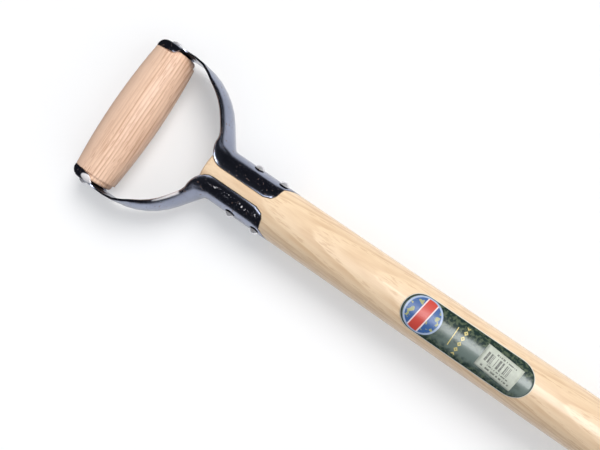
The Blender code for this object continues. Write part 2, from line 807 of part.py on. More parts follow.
def add_label(group, material, frame):
    """The oblong label on the shaft's front."""
    rows = []
    for share in (0.0, 1.0):
        row = []
        for index in range(LABEL_STEPS + 1):
            across = -LABEL_HALF_WIDTH * math.cos(math.pi * index / LABEL_STEPS)
            inset = LABEL_HALF_WIDTH - math.sqrt(max(LABEL_HALF_WIDTH**2 - across**2, 0.0))
            along = mix(LABEL_START + inset, LABEL_START + LABEL_LENGTH - inset, share)
            row.append((along, across))
        rows.append(row)
    wrapped_slab("label", rows, SHAFT_RADIUS + GAP, group, material, frame)


def add_sticker(group, material, frame):
    """The price sticker on the label."""
    centre = LABEL_START + STICKER_START + STICKER_LENGTH / 2
    cosine = math.cos(STICKER_SLANT)
    sine = math.sin(STICKER_SLANT)
    rows = []
    for end in (-0.5, 0.5):
        row = []
        for index in range(STICKER_STEPS + 1):
            along = end * STICKER_LENGTH
            across = (index / STICKER_STEPS - 0.5) * STICKER_WIDTH
            row.append((centre + along * cosine + across * sine, across * cosine - along * sine))
        rows.append(row)
    radius = SHAFT_RADIUS + GAP + PAPER + GAP
    wrapped_slab("price_sticker", rows, radius, group, material, frame)


def rivet(name, place, direction, half_grip, targets, group, cutters, material, frame):
    """A rivet centred on a place, and its hole through each target."""
    bore = RIVET_RADIUS + GAP
    length = half_grip * DRILL_LENGTH_TO_GRIP
    hole = drill(name + "_hole", place, direction, bore, length, cutters, frame)
    for target in targets:
        cut(target, hole)
    profile = headed_pin(RIVET_RADIUS, half_grip, RIVET_HEAD_RADIUS, RIVET_HEAD_HEIGHT)
    add_pin(name, place, direction, profile, group, material, frame)


def add_strap_rivets(name, strap, side, shaft, group, cutters, material, frame):
    """Two rivets driven through a strap's plate into the shaft."""
    sine, cosine = math.sin(PLATE_RIVET_ANGLE), math.cos(PLATE_RIVET_ANGLE)
    outward = Vector((0.0, side * sine, cosine))
    outer = PLATE_RADIUS + STRAP_SHEET / 2 + GAP
    dome = dome_profile(RIVET_HEAD_RADIUS, RIVET_HEAD_HEIGHT)
    shank = [(RIVET_RADIUS, 0.0), (RIVET_RADIUS, -PLATE_RIVET_SHANK), (0.0, -PLATE_RIVET_SHANK)]
    length = RIVET_HEAD_HEIGHT + PLATE_RIVET_SHANK + GAP
    for word, distance in zip(("upper", "lower"), plate_rivet_places()):
        head = Vector((distance, 0.0, 0.0)) + outward * outer
        middle = head + outward * (RIVET_HEAD_HEIGHT - length / 2)
        hole_name = name + "_" + word + "_hole"
        hole = drill(hole_name, middle, outward, RIVET_RADIUS + GAP, length, cutters, frame)
        cut(shaft, hole)
        cut(strap, hole)
        add_pin(name + "_" + word, head, outward, dome + shank, group, material, frame)


def add_leaf_rivets(shaft, leaves, *places):
    """Rivets right through the shaft and the two leaves."""
    half_grip = LEAF_RADIUS + LEAF_SHEET / 2 + GAP
    for word, distance in zip(("upper", "lower"), leaf_rivet_places()):
        place = Vector((distance, 0.0, 0.0))
        rivet("leaf_rivet_" + word, place, (0.0, 0.0, 1.0), half_grip, (shaft, *leaves), *places)


def add_pan_rivets(pan, leaves, *places):
    """Rivets through the scoop's back wall and the leaves' flanges."""
    half_grip = LEAF_FLANGE_HEIGHT + LEAF_SHEET / 2 + GAP
    number = 0
    for down, sideways in PAN_RIVET_ROWS:
        middle, normal = neck_point(wall_start_distance() + down)
        for side in (1.0, -1.0):
            number += 1
            place = middle + Vector((0.0, side * sideways, 0.0))
            rivet("pan_rivet_" + str(number), place, normal, half_grip, (pan, *leaves), *places)


def drawn_points(pieces):
    """Every vertex of the pieces as drawn, before the tool is laid down."""
    bpy.context.view_layer.update()
    graph = bpy.context.evaluated_depsgraph_get()
    points = []
    for piece in pieces:
        shown = piece.evaluated_get(graph)
        data = shown.to_mesh()
        points += [shown.matrix_world @ vertex.co for vertex in data.vertices]
        shown.to_mesh_clear()
    return points


def lay_down(frame, pieces, handle_end, pan):
    """Turn the tool until the grip's end and the scoop's heel touch the ground, and centre it."""
    handle_points = drawn_points(handle_end)
    pan_points = drawn_points(pan)

    def lowest(points, tilt):
        sine, cosine = math.sin(tilt), math.cos(tilt)
        return min(point.z * cosine - point.x * sine for point in points)

    low, high = -REST_TILT_LIMIT, REST_TILT_LIMIT
    for _ in range(REST_SEARCH_STEPS):
        tilt = (low + high) / 2
        if lowest(handle_points, tilt) > lowest(pan_points, tilt):
            high = tilt
        else:
            low = tilt
    turn = Matrix.Rotation(tilt, 4, "Y")
    laid = [turn @ point for point in drawn_points(pieces)]
    middle_x = (min(point.x for point in laid) + max(point.x for point in laid)) / 2
    bottom = min(point.z for point in laid)
    frame.matrix_world = Matrix.Translation((-middle_x, 0.0, -bottom)) @ turn


def main():
    clear_scene()
    group = new_collection("scoop_shovel")
    cutters = new_collection("cutters")
    frame = bpy.data.objects.new("tool_frame", None)
    group.objects.link(frame)

    ash = new_material("ash_shaft", ASH_SHAFT)
    ash_grip = new_material("ash_grip", ASH_GRIP)
    dark_steel = new_material("dark_steel", DARK_STEEL)
    bright_steel = new_material("bright_steel", BRIGHT_STEEL)
    scoop_steel = new_material("scoop_steel", SCOOP_STEEL)
    label_print = new_material("label_print", LABEL_PRINT)
    sticker_paper = new_material("sticker_paper", STICKER_PAPER)

    shaft = add_shaft(group, ash, frame)
    grip = add_grip(group, cutters, ash_grip, frame)
    right, right_seat = add_strap("strap_right", 1.0, group, cutters, dark_steel, frame)
    left, left_seat = add_strap("strap_left", -1.0, group, cutters, dark_steel, frame)
    front, front_seat = add_leaf("socket_front", 1.0, group, cutters, dark_steel, frame)
    back, back_seat = add_leaf("socket_back", -1.0, group, cutters, dark_steel, frame)
    for seat in (right_seat, left_seat, front_seat, back_seat):
        cut(shaft, seat)
    pan = add_pan(group, scoop_steel, frame)
    rod_grip = CUP_FACE + CUP_SHEET / 2 + GAP
    rod_profile = headed_pin(ROD_RADIUS, rod_grip, ROD_HEAD_RADIUS, ROD_HEAD_HEIGHT)
    add_pin("grip_rod", ROD_PLACE, ALONG_GRIP, rod_profile, group, bright_steel, frame)
    places = (group, cutters, bright_steel, frame)
    add_strap_rivets("strap_rivet_right", right, 1.0, shaft, *places)
    add_strap_rivets("strap_rivet_left", left, -1.0, shaft, *places)
    add_leaf_rivets(shaft, (front, back), *places)
    add_pan_rivets(pan, (front, back), *places)
    add_label(group, label_print, frame)
    add_sticker(group, sticker_paper, frame)

    pieces = [piece for piece in group.objects if piece.type == "MESH"]
    lay_down(frame, pieces, (grip, right, left), (pan,))


main()
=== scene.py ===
"""Looks, floor, light and camera for the scoop shovel.

Lengths are in metres. The tool's own frame has its origin at the grip's centre, X down the shaft
towards the scoop, Y along the grip and Z out of the front. The row frame has the tool laid down.
"""

import json
import math

import bmesh
import bpy
from mathutils import Matrix, Vector

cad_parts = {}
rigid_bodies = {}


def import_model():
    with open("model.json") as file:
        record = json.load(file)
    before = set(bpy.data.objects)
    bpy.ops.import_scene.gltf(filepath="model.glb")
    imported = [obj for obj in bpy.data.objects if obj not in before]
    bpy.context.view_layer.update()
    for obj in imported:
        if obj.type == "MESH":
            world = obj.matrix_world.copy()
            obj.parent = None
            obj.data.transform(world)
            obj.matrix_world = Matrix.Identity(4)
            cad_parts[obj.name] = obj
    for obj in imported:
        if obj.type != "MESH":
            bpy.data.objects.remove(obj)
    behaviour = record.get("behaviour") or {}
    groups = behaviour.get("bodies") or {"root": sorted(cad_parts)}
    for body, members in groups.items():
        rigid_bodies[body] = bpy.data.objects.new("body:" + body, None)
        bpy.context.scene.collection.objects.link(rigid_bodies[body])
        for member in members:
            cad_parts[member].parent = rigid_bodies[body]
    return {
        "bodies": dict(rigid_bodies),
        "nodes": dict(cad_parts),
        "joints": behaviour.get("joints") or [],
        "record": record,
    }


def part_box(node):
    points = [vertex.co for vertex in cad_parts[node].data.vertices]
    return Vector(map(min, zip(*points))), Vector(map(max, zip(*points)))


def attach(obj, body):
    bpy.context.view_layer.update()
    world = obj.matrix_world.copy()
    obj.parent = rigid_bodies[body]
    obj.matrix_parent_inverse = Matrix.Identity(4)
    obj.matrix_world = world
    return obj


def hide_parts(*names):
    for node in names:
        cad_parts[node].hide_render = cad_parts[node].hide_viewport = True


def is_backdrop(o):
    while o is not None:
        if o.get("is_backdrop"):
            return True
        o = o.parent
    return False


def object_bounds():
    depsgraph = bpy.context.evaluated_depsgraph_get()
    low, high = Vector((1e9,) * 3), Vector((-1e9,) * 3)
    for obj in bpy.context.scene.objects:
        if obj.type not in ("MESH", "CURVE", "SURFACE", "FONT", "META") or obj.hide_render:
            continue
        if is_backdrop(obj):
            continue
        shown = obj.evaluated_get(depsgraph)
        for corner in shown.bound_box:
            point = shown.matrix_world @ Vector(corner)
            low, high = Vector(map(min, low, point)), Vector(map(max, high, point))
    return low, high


# Camera, in the tool's frame: place, the picture's right and down directions, lens and sensor in
# millimetres, and the nearest distance that shows
CAMERA_PLACE = (0.25561, 0.00179, 0.56405)
CAMERA_RIGHT = (0.81083, 0.56562, -0.15043)
CAMERA_DOWN = (0.55585, -0.82467, -0.10465)
CAMERA_LENS = 48.0
CAMERA_SENSOR = 36.0
CAMERA_NEAR = 0.01

# Light on every surface: two soft suns and an even dome. A sun has its tilts from straight up,
# along and across the tool, its width and its strength; all angles in degrees
SUNS = {
    "key": (8.0, 35.0, 34.0, 1.94),
    "side": (58.0, 5.0, 60.0, 0.90),
}
SUN_COLOUR = (1.0, 0.98, 0.95)
DOME = (0.39, 0.40, 0.43)

# Soft boxes that only show in the gloss, in the tool's frame: middle, size, power
BOX_HEIGHT = 1.5
BOXES = {
    "strip": ((0.95, 0.14), (1.30, 0.80), 29.0),
    "card": ((0.12, -0.12), (0.50, 0.80), 3.0),
}
ROOM = (0.022, 0.022, 0.026)
BACKDROP = (1.0, 1.0, 1.0)

# Floor: half its width, its colour, and the light it adds where it is seen or reflected. In the
# gloss it is pale near the tool and round the scoop, and dark past its reach on both sides of the
# handle and beyond the grip; places are in the row frame
FLOOR_HALF_WIDTH = 8.0
FLOOR_COLOUR = (0.667, 0.670, 0.678)
FLOOR_GLOW = (0.321, 0.325, 0.325)
GLOSS_REACH = 0.126
GLOSS_FADE = 0.015
GLOSS_HANDLE_END = 0.20
GLOSS_SCOOP_START = 0.32
GLOSS_GRIP_START = -0.585

# How the CAD's meshes are joined into one skin, and which of their edges are broken or stay sharp
WELD_REACH = 0.00001
SHEET_BEVEL = 0.0003
BEVEL_STEPS = 2
BEVEL_ANGLE = math.radians(50.0)
SHARP_ANGLE = math.radians(42.0)
FACE_SIZE_WEIGHT = 100

# Ash, in linear colour. A board has a point of its pith, the way to its bark and the way up its
# trunk, all in the tool's frame; the distance between growth rings; the distances from the pith
# between which the rings fade away, if they do; and how strongly they show
WOODS = {
    "shaft_wood": {
        "board": ((0.2, -0.0143, -0.0736), (0.0, 0.19, 0.98), (1.0, -0.011, -0.057)),
        "light": (0.94, 0.73, 0.50),
        "dark": (0.72, 0.49, 0.29),
        "rings": 0.0030,
        "plain": None,
        "figure": 0.66,
        "roughness": 0.38,
        "coat": 0.45,
        "sheen": 0.20,
    },
    "grip_wood": {
        "board": ((0.0900, 0.0, -0.0300), (-0.95, 0.0, 0.31), (0.0, 1.0, 0.0)),
        "light": (0.93, 0.66, 0.49),
        "dark": (0.62, 0.36, 0.23),
        "rings": 0.0028,
        "plain": (0.1040, 0.1085),
        "figure": 0.75,
        "roughness": 0.46,
        "coat": 0.10,
        "sheen": 0.05,
    },
}

# Noises in the ash: stretch along the trunk, scale, detail, and the two levels between which they
# fade in, for those that do
GRAIN = {
    "drift": (0.18, 32.0, 3.0),
    "wobble": (0.16, 170.0, 2.0),
    "strength": (0.20, 150.0, 2.0, 0.35, 0.62),
    "fibre": (0.02, 1100.0, 3.0, 0.32, 0.72),
    "tone": (0.25, 45.0, 2.0, 0.30, 0.70),
    "pores": (0.06, 2600.0, 1.0, 0.60, 0.70),
    "dashes": (0.10, 1000.0, 2.0, 0.50, 0.62),
}

# Growth rings: how far noise shifts them, in rings, and the parts of one ring, from 0 to 1
RING_DRIFT = 1.5
RING_WOBBLE = 0.60
EARLY_WOOD = (0.02, 0.30)
EARLY_SOFT = 0.06
LATE_WOOD_RISE = (0.25, 0.80)
LATE_WOOD_FALL = (1.00, 0.88)

# How much each mark darkens the wood, the share of pores in each part of a ring, how much duller
# dark wood is, and the depth of the fibres and pores
WEAKEST_LINE = 0.4
DASH_DARK = 0.9
FIBRE_DARK = 0.18
TONE_DARK = 0.14
PORE_DARK = 0.25
PORES_IN_LATE_WOOD = 0.25
PORES_IN_EARLY_WOOD = 0.85
DARK_WOOD_DULL = 0.16
GROOVE_DEPTH = 0.00005
GROOVE_STRENGTH = 0.35

# The wood's own gloss, and how blurred its coat and its sheen are
WOOD_GLOSS = 0.35
WOOD_COAT_ROUGHNESS = 0.18
WOOD_SHEEN_ROUGHNESS = 0.25

# Steel, in linear colour, with its roughness, the depth of its dents, and how metallic it is
STEELS = {
    "strap_steel": ((0.315, 0.345, 0.445), 0.16, 0.0002, 1.0),
    "scoop_steel": ((0.17, 0.18, 0.22), 0.42, 0.0004, 1.0),
    "rivet_steel": ((0.90, 0.90, 0.93), 0.16, 0.0001, 0.60),
}
# Painted highlight: a near-white colour laid on the left strap where a reflection should shine
PAINTED_HIGHLIGHT_COLOUR = (0.97, 0.95, 0.96)
SPECKS = (0.25, 0.16, 0.12)
# Painted shade round the rivet heads: a dark colour where ambient occlusion finds the surface
# closed in, how far it looks, the openness between which the shade fades out, and its samples
PAINTED_CREASE_SHADE = (0.03, 0.03, 0.035)
CREASE_SHADE_REACH = 0.0035
CREASE_SHADE_OPENNESS = (0.66, 0.92)
CREASE_SHADE_SAMPLES = 12

# Marks on the steel: scale, detail, and the two levels between which they fade in
CLOUD = (38.0, 4.0, 0.30, 0.72)
WEAR = (240.0, 5.0, 0.60, 0.78)
SPECK_MARKS = (560.0, 3.0, 0.63, 0.71)
# The sparkle marks break a painted highlight into glints
HIGHLIGHT_SPARKLES = (640.0, 3.0, 0.57, 0.68)

# What the marks do: how a cloud shades and dulls the lacquer, how wear dulls it, and the share of
# its metal that a speck or a painted highlight takes away
CLOUD_SHADE = 0.80
CLOUD_DULL = 0.06
WEAR_DULL = 0.10
SPECK_METAL_LOSS = 0.50
HIGHLIGHT_METAL_LOSS = 0.85

# Drawing lines and dents: stretch, and scale and detail of the noise
DRAWN_STRETCH = (0.06, 1.0, 1.0)
DRAWN_NOISE = (1500.0, 2.0)
DRAWN_DEPTH = 0.05
DENT_NOISE = (70.0, 1.0)
DENT_STRENGTH = 0.5

# Painted highlights on the left strap: white patches that stand in for the lamp's reflection on the
# cup and along two edges. In the tool's frame: middle and reach along and across, lowest height,
# and how far the patch is broken into sparkles. It ends between two squared distances, counted in
# reaches
PAINTED_HIGHLIGHT_PATCHES = {
    "cup": ((0.0025, -0.0575), (0.0052, 0.0027), 0.0125, 0.0),
    "plate_edge": ((0.1080, -0.0098), (0.0250, 0.0018), 0.0120, 1.0),
    "arm_edge": ((0.0600, -0.0350), (0.0105, 0.0110), 0.0158, 0.0),
}
HIGHLIGHT_PATCH_EDGE = (1.25, 0.75)
HIGHLIGHT_HEIGHT_FADE = 0.001

# Label and sticker on the shaft
SHAFT_RADIUS = 0.0200
FILM = 0.00015
FILM_LIFT = 0.00005
LABEL_START = 0.2420
LABEL_LENGTH = 0.1000
LABEL_HALF_WIDTH = 0.0143
LABEL_TURN = math.radians(-2.5)
LABEL_STEPS_ALONG = 40
LABEL_STEPS_ROUND = 24
STICKER_CENTRE = 0.31725
STICKER_SIZE = (0.0285, 0.0170)
STICKER_SLANT = math.radians(5.0)
STICKER_STEPS = 12

# The label's ground, in linear colour. Marks have scale, detail, and the two levels between which
# they fade in. A painted glare, a pale mottled band standing in for the lacquer's highlight, runs
# down its middle, and is thinner by the badge. The pale rim lies within the dark one's reach from
# the edge
LABEL_DEEP = (0.010, 0.030, 0.025)
LABEL_LEAF = (0.090, 0.125, 0.075)
LABEL_PAINTED_GLARE = (0.150, 0.200, 0.180)
LABEL_EDGE = (0.78, 0.80, 0.74)
LEAVES = (420.0, 5.0, 0.46, 0.60)
PAINTED_GLARE_SWIRLS = (110.0, 3.0, 0.20, 0.50)
PAINTED_GLARE_STRETCH = (0.5, 1.0, 1.0)
PAINTED_GLARE_MIDDLE = -0.0030
PAINTED_GLARE_REACH = (0.0150, 0.0080)
PAINTED_GLARE_NOISE = (300.0, 4.0)
PAINTED_GLARE_RAGGED = 0.009
PAINTED_GLARE_ALONG = (0.026, 0.040)
PAINTED_GLARE_AT_BADGE = 0.55
DARK_RIM = (0.0011, 0.0008)
PALE_RIM = (0.0006, 0.0004)
LABEL_ROUGHNESS = 0.34
LABEL_COAT = 0.35
LABEL_COAT_ROUGHNESS = 0.12
LABEL_WAVES = (160.0, 2.0)
LABEL_WAVE_DEPTH = 0.00008
LABEL_WAVE_STRENGTH = 0.3

# The badge, with a plain ribbon that leans across it
BADGE_CENTRE = 0.0157
BADGE_RADIUS = 0.0124
BADGE_RING = 0.0013
BADGE_BLUE = (0.045, 0.130, 0.360)
BADGE_PALE = (0.420, 0.520, 0.700)
BADGE_LAND = (0.400, 0.420, 0.180)
LAND = (210.0, 3.0, 0.54, 0.60)
RIBBON_RED = (0.640, 0.070, 0.050)
RIBBON_EDGE = (0.880, 0.720, 0.720)
RIBBON_HALF_WIDTH = 0.0046
RIBBON_EDGE_WIDTH = 0.0009
RIBBON_LEAN = -0.14
PRINT_EDGE = 0.0003

# The gold trim: a rule, and a row of lozenges with a darker core
TRIM_GOLD = (0.720, 0.600, 0.220)
RULE_ALONG = (0.0393, 0.0399)
RULE_SOFT = 0.0001
RULE_HALF_WIDTH = (0.0072, 0.0069)
LOZENGE_PLACE = 0.0458
LOZENGE_PITCH = 0.0042
LOZENGE_LEAN = 0.0036
LOZENGE_REACH = (0.0017, 0.0013)
LOZENGE_CORE = (0.0008, 0.0006)
LOZENGE_CORE_LOSS = 0.7
ROW_HALF_WIDTH = (0.0107, 0.0104)

# The price sticker: paper and ink in linear colour, and where bars and rows of marks are, along
# and across it. Of the places for a mark, a share stays empty
STICKER_PAPER = (0.570, 0.610, 0.520)
STICKER_INK = (0.045, 0.048, 0.042)
BAR_PLACE = ((0.0030, 0.0225), (0.0062, 0.0128))
BAR_WIDTH = 0.00042
BAR_EMPTY = 0.46
MARK_ROWS = (
    ((0.0085, 0.0165), (0.0138, 0.0150)),
    ((0.0175, 0.0240), (0.0140, 0.0148)),
    ((0.0060, 0.0240), (0.0045, 0.0053)),
    ((0.0035, 0.0260), (0.0020, 0.0032)),
)
MARK_WIDTH = 0.00055
MARK_EMPTY = 0.28
MARKS_IN_ROW = 50.0
STICKER_SOFT = 0.0001
SMUDGES = (900.0, 3.0, 0.25, 0.62)
SMUDGED_INK = 0.35
FAINT_INK = 0.5
PAPER_CLOUD = (260.0, 4.0, 0.35, 0.70)
PAPER_SHADE = 0.86
PAPER_ROUGHNESS = 0.5
PAPER_FIBRES = (1800.0, 2.0)
PAPER_DEPTH = 0.00003
PAPER_STRENGTH = 0.4


class Graph:
    """A material, and short ways to add nodes to it."""

    def __init__(self, name):
        self.material = bpy.data.materials.new(name)
        self.material.use_nodes = True
        self.nodes = self.material.node_tree.nodes
        self.links = self.material.node_tree.links
        self.shader = self.nodes["Principled BSDF"]

    def add(self, kind, **settings):
        """A node with some of its settings."""
        node = self.nodes.new(kind)
        for key, value in settings.items():
            setattr(node, key, value)
        return node

    def feed(self, socket, value):
        """Link a socket to another one, or set its own value."""
        if isinstance(value, bpy.types.NodeSocket):
            self.links.new(value, socket)
        elif isinstance(value, tuple) and socket.type == "RGBA":
            socket.default_value = (*value, 1.0)
        else:
            socket.default_value = value

    def maths(self, operation, *values):
        """A sum on numbers."""
        node = self.add("ShaderNodeMath", operation=operation)
        for socket, value in zip(node.inputs, values):
            self.feed(socket, value)
        return node.outputs[0]

    def squares(self, x, y):
        """The squares of two numbers, added."""
        return self.maths("ADD", self.maths("POWER", x, 2.0), self.maths("POWER", y, 2.0))

    def length(self, x, y):
        """The length of a flat vector."""
        return self.maths("SQRT", self.squares(x, y))

    def away(self, value, middle):
        """How far a value is from another one."""
        return self.maths("ABSOLUTE", self.maths("SUBTRACT", value, middle))

    def fade(self, value, start, end):
        """0 at start and 1 at end, smooth between them."""
        low, high = min(start, end), max(start, end)
        node = self.add("ShaderNodeMapRange", interpolation_type="SMOOTHSTEP")
        self.feed(node.inputs["Value"], value)
        node.inputs["From Min"].default_value = low
        node.inputs["From Max"].default_value = high
        node.inputs["To Min"].default_value = 0.0 if start < end else 1.0
        node.inputs["To Max"].default_value = 1.0 if start < end else 0.0
        return node.outputs["Result"]

    def between(self, value, low, high, soft):
        """1 between two values, 0 outside them."""
        rise = self.fade(value, low - soft, low + soft)
        fall = self.fade(value, high + soft, high - soft)
        return self.maths("MULTIPLY", rise, fall)

    def blend(self, share, first, second):
        """The second colour laid over the first by a share."""
        node = self.add("ShaderNodeMix", data_type="RGBA")
        self.feed(node.inputs[0], share)
        self.feed(node.inputs[6], first)
        self.feed(node.inputs[7], second)
        return node.outputs[2]

    def scaled(self, vector, scale):
        """A vector with each part multiplied."""
        node = self.add("ShaderNodeMapping")
        self.feed(node.inputs["Vector"], vector)
        node.inputs["Scale"].default_value = scale
        return node.outputs["Vector"]

    def parts(self, vector):
        """The three numbers of a vector."""
        node = self.add("ShaderNodeSeparateXYZ")
        self.feed(node.inputs["Vector"], vector)
        return node.outputs

    def noise(self, vector, scale, detail):
        """Soft noise around one half."""
        node = self.add("ShaderNodeTexNoise")
        self.feed(node.inputs["Vector"], vector)
        node.inputs["Scale"].default_value = scale
        node.inputs["Detail"].default_value = detail
        return node.outputs[0]

    def marks(self, vector, scale, detail, low, high):
        """Marks where the noise is high, faded in between two of its levels."""
        return self.fade(self.noise(vector, scale, detail), low, high)

    def placed(self, frame):
        """Where a point of the surface is, seen from a frame given in the row frame."""
        place = self.add("ShaderNodeTexCoord").outputs["Object"]
        node = self.add("ShaderNodeMapping", vector_type="TEXTURE")
        self.feed(node.inputs["Vector"], place)
        node.inputs["Location"].default_value = frame.translation
        node.inputs["Rotation"].default_value = frame.to_euler()
        return node.outputs["Vector"]

    def print_place(self):
        """Place on a film in metres: as a vector, along the shaft, and round it."""
        sheet = self.add("ShaderNodeUVMap", uv_map="print").outputs["UV"]
        along, across, _ = self.parts(sheet)
        return sheet, along, across

    def rough(self, height, distance, strength):
        """Bumps on the surface."""
        node = self.add("ShaderNodeBump")
        self.feed(node.inputs["Height"], height)
        node.inputs["Distance"].default_value = distance
        node.inputs["Strength"].default_value = strength
        self.feed(self.shader.inputs["Normal"], node.outputs["Normal"])

    def set(self, **values):
        """Values of the shader's own sockets, named with underscores for spaces."""
        for key, value in values.items():
            socket = key.replace("_", " ").title().replace("Ior", "IOR")
            self.feed(self.shader.inputs[socket], value)


def shaded(colour, share):
    """A darker colour."""
    return tuple(part * share for part in colour)


def tool_frame():
    """Matrix from the tool's frame to the row frame, read from where the grip and a rivet lie."""
    grip_low, grip_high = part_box("grip")
    rivet_low, rivet_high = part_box("leaf_rivet_lower")
    origin = (grip_low + grip_high) / 2
    along = ((rivet_low + rivet_high) / 2 - origin).normalized()
    across = Vector((0.0, 1.0, 0.0))
    turn = Matrix((along, across, along.cross(across))).transposed()
    return Matrix.Translation(origin) @ turn.to_4x4()


def board_frame(tool, pith, towards_bark, along):
    """Frame of the tree that a piece was cut from: Z up the trunk, X from the pith to the piece."""
    up = Vector(along).normalized()
    out = Vector(towards_bark)
    out = (out - up * out.dot(up)).normalized()
    turn = Matrix((out, up.cross(out), up)).transposed()
    return tool @ Matrix.Translation(pith) @ turn.to_4x4()


def wood(name, tool, board, light, dark, rings, plain, figure, roughness, coat, sheen):
    """Ash: growth rings round the pith, fine fibres and short open pores."""
    graph = Graph(name)
    place = graph.placed(board_frame(tool, *board))

    def grain(kind):
        """One of the noises, stretched along the trunk."""
        stretch, scale, detail, *levels = GRAIN[kind]
        noise = graph.noise(graph.scaled(place, (1.0, 1.0, stretch)), scale, detail)
        return graph.fade(noise, *levels) if levels else noise

    x, y, _ = graph.parts(place)
    radius = graph.length(x, y)
    phase = graph.maths("DIVIDE", radius, rings)
    phase = graph.maths("MULTIPLY_ADD", grain("drift"), RING_DRIFT, phase)
    phase = graph.maths("MULTIPLY_ADD", grain("wobble"), RING_WOBBLE, phase)
    ring = graph.maths("FRACT", phase)
    early = graph.between(ring, *EARLY_WOOD, EARLY_SOFT)
    rise, fall = graph.fade(ring, *LATE_WOOD_RISE), graph.fade(ring, *LATE_WOOD_FALL)
    late = graph.maths("MULTIPLY", rise, fall)

    strength = graph.maths("MULTIPLY_ADD", grain("strength"), 1.0 - WEAKEST_LINE, WEAKEST_LINE)
    dashes = graph.maths("MULTIPLY", grain("dashes"), early)
    lines = graph.maths("MULTIPLY", late, strength)
    lines = graph.maths("MULTIPLY_ADD", dashes, DASH_DARK, lines)
    if plain:
        nearest, furthest = plain
        lines = graph.maths("MULTIPLY", lines, graph.fade(radius, furthest, nearest))

    more_pores = PORES_IN_EARLY_WOOD - PORES_IN_LATE_WOOD
    open_share = graph.maths("MULTIPLY_ADD", early, more_pores, PORES_IN_LATE_WOOD)
    pores = graph.maths("MULTIPLY", grain("pores"), open_share)
    fibre = grain("fibre")
    share = graph.maths("MULTIPLY", lines, figure)
    share = graph.maths("MULTIPLY_ADD", fibre, FIBRE_DARK, share)
    share = graph.maths("MULTIPLY_ADD", grain("tone"), TONE_DARK, share)
    share = graph.maths("MULTIPLY_ADD", pores, PORE_DARK, share)

    graph.set(base_color=graph.blend(share, light, dark))
    graph.set(roughness=graph.maths("MULTIPLY_ADD", share, DARK_WOOD_DULL, roughness))
    graph.set(specular_ior_level=WOOD_GLOSS)
    graph.set(coat_weight=coat, coat_roughness=WOOD_COAT_ROUGHNESS)
    graph.set(sheen_weight=sheen, sheen_roughness=WOOD_SHEEN_ROUGHNESS)
    grooves = graph.maths("MULTIPLY_ADD", pores, -1.0, fibre)
    graph.rough(grooves, GROOVE_DEPTH, GROOVE_STRENGTH)
    return graph.material


def painted_highlight_share(graph, place, middle, reach, height, broken):
    """How much painted highlight one patch lays on the steel."""
    x, y, z = graph.parts(place)
    off_x = graph.maths("DIVIDE", graph.maths("SUBTRACT", x, middle[0]), reach[0])
    off_y = graph.maths("DIVIDE", graph.maths("SUBTRACT", y, middle[1]), reach[1])
    inside = graph.fade(graph.squares(off_x, off_y), *HIGHLIGHT_PATCH_EDGE)
    above = graph.fade(z, height - HIGHLIGHT_HEIGHT_FADE, height + HIGHLIGHT_HEIGHT_FADE)
    sparkles = graph.marks(place, *HIGHLIGHT_SPARKLES)
    left = graph.maths("MULTIPLY_ADD", sparkles, broken, 1.0 - broken)
    return graph.maths("MULTIPLY", graph.maths("MULTIPLY", inside, above), left)


def steel(name, tool, highlight_patches=(), crease_shade=False):
    """Dark lacquered steel: uneven gloss, rusty specks, faint drawing lines and shallow dents.

    Where asked, painted highlight patches and painted shade in the creases.
    """
    colour, roughness, dents, metallic = STEELS[name]
    graph = Graph(name)
    place = graph.placed(tool)
    cloud = graph.marks(place, *CLOUD)
    specks = graph.marks(place, *SPECK_MARKS)
    paint = graph.blend(cloud, colour, shaded(colour, CLOUD_SHADE))
    paint = graph.blend(specks, paint, SPECKS)
    metal = graph.maths("MULTIPLY_ADD", specks, -SPECK_METAL_LOSS * metallic, metallic)
    # Painted highlights: white, less metallic patches where a reflection should shine
    for patch in highlight_patches:
        highlight = painted_highlight_share(graph, place, *patch)
        paint = graph.blend(highlight, paint, PAINTED_HIGHLIGHT_COLOUR)
        metal_left = graph.maths("MULTIPLY_ADD", highlight, -HIGHLIGHT_METAL_LOSS, 1.0)
        metal = graph.maths("MULTIPLY", metal, metal_left)
    # Painted shade: dark where ambient occlusion finds the surface closed in, round the rivet heads
    if crease_shade:
        corner = graph.add("ShaderNodeAmbientOcclusion", samples=CREASE_SHADE_SAMPLES)
        corner.inputs["Distance"].default_value = CREASE_SHADE_REACH
        paint = graph.blend(graph.fade(corner.outputs["AO"], *CREASE_SHADE_OPENNESS), PAINTED_CREASE_SHADE, paint)
    dull = graph.maths("MULTIPLY_ADD", cloud, CLOUD_DULL, roughness)
    dull = graph.maths("MULTIPLY_ADD", graph.marks(place, *WEAR), WEAR_DULL, dull)
    graph.set(base_color=paint, roughness=dull, metallic=metal)
    lines = graph.noise(graph.scaled(place, DRAWN_STRETCH), *DRAWN_NOISE)
    waves = graph.maths("MULTIPLY_ADD", lines, DRAWN_DEPTH, graph.noise(place, *DENT_NOISE))
    graph.rough(waves, dents, DENT_STRENGTH)
    return graph.material


